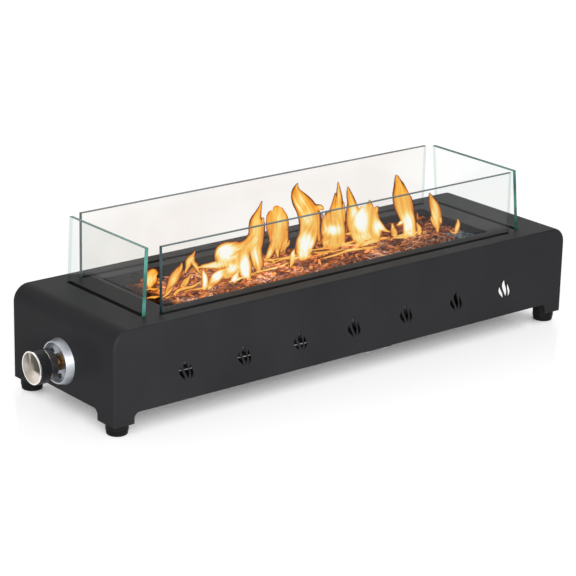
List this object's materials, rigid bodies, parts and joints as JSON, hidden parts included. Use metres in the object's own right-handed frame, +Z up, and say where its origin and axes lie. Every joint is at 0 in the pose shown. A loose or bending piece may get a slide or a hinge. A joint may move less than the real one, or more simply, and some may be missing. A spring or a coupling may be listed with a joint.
{
  "type": "tabletop gas fire pit",
  "caption": "Long low tabletop fire pit: folded steel casing on rubber feet, burner pan of fire glass, loose glass wind guards and a push-and-turn gas valve with its knob on the left end.",
  "frame": {"origin": "on the table, in the middle of the whole footprint, knob included", "axes": "+X along the casing away from the knob, +Y to the rear, +Z up; the knob is on the -X end"},
  "size_m": [0.7408, 0.206, 0.2052],
  "materials": {
    "casing_paint": "textured charcoal powder coat",
    "black_steel": "black paint",
    "pan_paint": "heat-proof charcoal, satin",
    "burner_steel": "stainless, mill finish",
    "zinc_screws": "bright zinc",
    "black_screws": "black oxide",
    "rubber": "matt",
    "silicone": "matt, grey",
    "clear_glass": "clear, green edges",
    "fire_glass": "amber beads",
    "tube_aluminium": "drawn",
    "brass": "machined",
    "cast_iron_black": "dark",
    "spring_steel": "spring wire",
    "bezel_metal": "satin, anodised",
    "knob_black": "moulded black",
    "knob_grey": "moulded dark grey",
    "knob_chrome": "bright"
  },
  "bodies": {
    "casing": {"top_and_ends": "casing_paint", "front_panel": "casing_paint", "rear_panel": "casing_paint", "foot_bracket_front_left": "casing_paint", "foot_bracket_front_right": "casing_paint", "foot_bracket_rear_left": "casing_paint", "foot_bracket_rear_right": "casing_paint", "glass_channel_front": "casing_paint", "glass_channel_rear": "casing_paint", "glass_channel_left": "casing_paint", "glass_channel_right": "casing_paint", "cross_brace": "black_steel", "burner_pan": "pan_paint", "burner_tube": "burner_steel", "burner_end_caps": "burner_steel", "burner_saddles": "burner_steel", "foot_screws": "zinc_screws", "foot_nuts": "zinc_screws", "brace_screws": "zinc_screws", "brace_nuts": "zinc_screws", "pan_studs": "zinc_screws", "pan_nuts": "zinc_screws", "burner_nut": "zinc_screws", "bezel_nuts": "zinc_screws", "bezel_screws": "black_screws", "foot_front_left": "rubber", "foot_front_right": "rubber", "foot_rear_left": "rubber", "foot_rear_right": "rubber", "glass_cushions": "silicone", "fire_glass_bed": "fire_glass", "gas_tube": "tube_aluminium", "mixing_tube": "cast_iron_black", "jet": "brass", "valve_flare_nut": "brass", "jet_flare_nut": "brass", "valve_body": "brass", "valve_cap": "brass", "valve_nut": "brass", "inlet_fitting": "brass", "bezel": "bezel_metal"},
    "valve_rotor": {"valve_plug": "brass", "valve_spring": "spring_steel"},
    "knob": {"valve_stem": "brass", "knob_skirt": "knob_grey", "knob_ring": "knob_chrome", "knob_grip": "knob_black", "knob_cap": "knob_chrome"},
    "front_guard": {"glass_front": "clear_glass"},
    "rear_guard": {"glass_rear": "clear_glass"},
    "left_guard": {"glass_left": "clear_glass"},
    "right_guard": {"glass_right": "clear_glass"}
  },
  "joints": [
    {"name": "knob_turn", "type": "hinge", "parent": "casing", "child": "valve_rotor", "pos_m": [-0.3151, 0.002, 0.0623], "axis": [-1, 0, 0], "range_deg": [0, 200]},
    {"name": "knob_push", "type": "slide", "parent": "valve_rotor", "child": "knob", "axis": [1, 0, 0], "range_m": [0, 0.003], "stiffness_N_per_m": 1500, "springref_m": -0.003, "deforming": ["valve_spring"]},
    {"name": "front_guard_lift", "type": "slide", "parent": "casing", "child": "front_guard", "axis": [0, 0.014, 0.9999], "range_m": [0, 0.045]},
    {"name": "rear_guard_lift", "type": "slide", "parent": "casing", "child": "rear_guard", "axis": [0, -0.0035, 1], "range_m": [0, 0.045]},
    {"name": "left_guard_lift", "type": "slide", "parent": "casing", "child": "left_guard", "axis": [0.0471, 0, 0.9989], "range_m": [0, 0.045]},
    {"name": "right_guard_lift", "type": "slide", "parent": "casing", "child": "right_guard", "axis": [-0.1115, 0, 0.9938], "range_m": [0, 0.045]}
  ]
}
